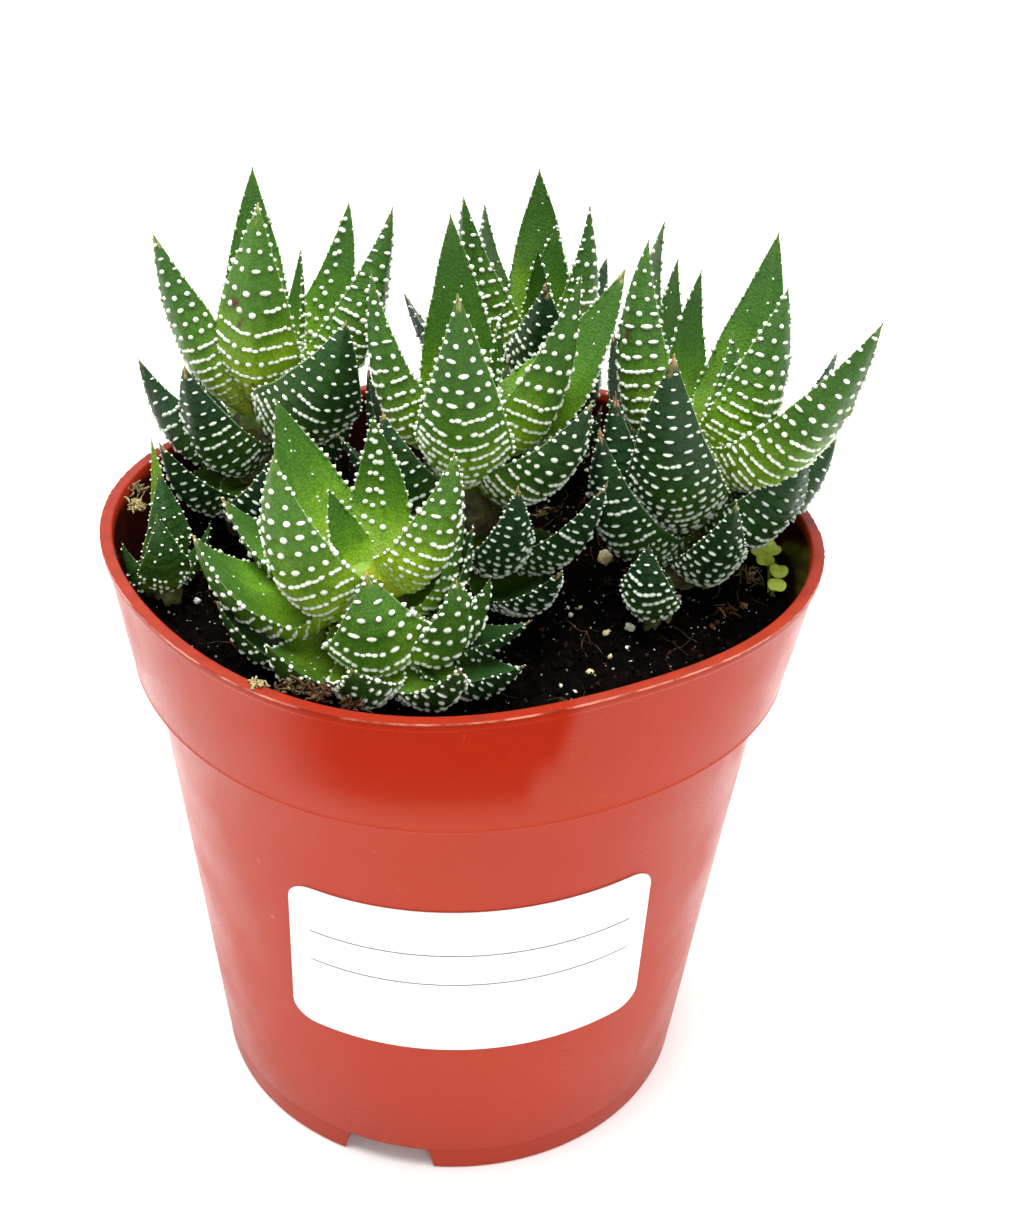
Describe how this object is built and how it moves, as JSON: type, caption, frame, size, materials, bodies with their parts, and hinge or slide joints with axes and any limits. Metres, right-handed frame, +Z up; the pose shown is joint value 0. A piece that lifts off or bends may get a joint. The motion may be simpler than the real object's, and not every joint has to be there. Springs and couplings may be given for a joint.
{
  "type": "potted haworthia",
  "caption": "Clump of small pointed succulents with white-studded leaves, growing in soil in a round terracotta-coloured plastic nursery pot with a bare white label.",
  "frame": {"origin": "centre of the pot's foot, on the surface it stands on", "axes": "+Z up; -Y is the front, where the label is; +X is to the right seen from the front"},
  "size_m": [0.1117, 0.1056, 0.1431],
  "materials": {
    "pot_plastic": "satin terracotta-red injection-moulded plastic",
    "label_paper": "smooth white sticker",
    "potting_mix": "dark peat with white grains",
    "leaf_young": "bright green waxy leaf with white studs",
    "leaf_mature": "deep green waxy leaf with white studs",
    "seedling_leaf": "thin pale green leaf"
  },
  "bodies": {
    "root": {"pot": "pot_plastic", "label": "label_paper", "soil": "potting_mix", "shoot_front": "leaf_young", "shoot_back_left": "leaf_mature", "shoot_centre": "leaf_mature", "shoot_right": "leaf_mature", "shoot_back": "leaf_mature", "shoot_left": "leaf_young", "pup_right": "leaf_mature", "clover_seedlings": "seedling_leaf"}
  },
  "joints": []
}
